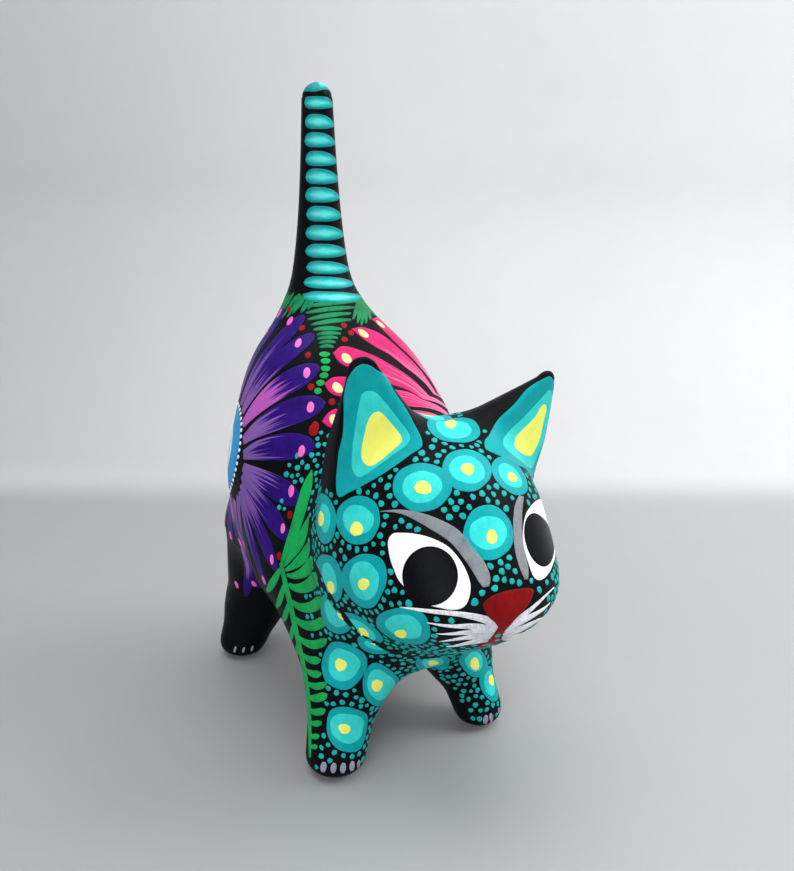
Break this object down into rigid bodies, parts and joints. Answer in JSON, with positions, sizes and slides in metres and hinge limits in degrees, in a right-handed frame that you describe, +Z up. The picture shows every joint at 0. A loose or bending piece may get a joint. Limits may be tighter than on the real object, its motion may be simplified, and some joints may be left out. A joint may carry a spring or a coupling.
{
  "type": "alebrije cat figure",
  "caption": "Carved wooden folk-art cat standing on splayed legs with its tail straight up, painted in dots, flowers and bars on a black ground; a free-standing ornament.",
  "frame": {"origin": "on the ground under the middle of the figure's bounding box", "axes": "+Z up along the tail, -Y forwards the way the cat faces, +X towards the cat's own left side"},
  "size_m": [0.0652, 0.1144, 0.1635],
  "materials": {
    "black_ground": "black acrylic ground under a satin varnish, with fine pores of the sanded wood and brush ridges",
    "teal_paint": "satin acrylic, hand brushed, teal",
    "turquoise_paint": "satin acrylic, hand brushed, light turquoise",
    "yellow_paint": "satin acrylic, thick dabs of lemon yellow",
    "white_paint": "satin acrylic, white and pale blue",
    "pink_paint": "satin acrylic, streaked magenta to pale pink",
    "violet_paint": "satin acrylic, streaked indigo to lilac",
    "orange_paint": "satin acrylic, streaked orange to yellow",
    "green_paint": "satin acrylic, leaf green strokes",
    "dark_red_paint": "satin acrylic, dark red",
    "grey_paint": "satin acrylic, grey and lilac-grey strokes",
    "bare_wood": "bare pale copal-type softwood, sanded"
  },
  "bodies": {
    "root": {"torso": "black_ground", "head": "black_ground", "right_ear": "teal_paint", "left_ear": "teal_paint", "tail": "black_ground", "front_right_leg": "black_ground", "front_left_leg": "black_ground", "rear_right_leg": "black_ground", "rear_left_leg": "black_ground", "front_right_leg_dowel": "bare_wood", "front_left_leg_dowel": "bare_wood", "rear_right_leg_dowel": "bare_wood", "rear_left_leg_dowel": "bare_wood", "tail_dowel": "bare_wood", "neck_dowel": "bare_wood", "right_ear_dowel": "bare_wood", "left_ear_dowel": "bare_wood"}
  },
  "joints": []
}
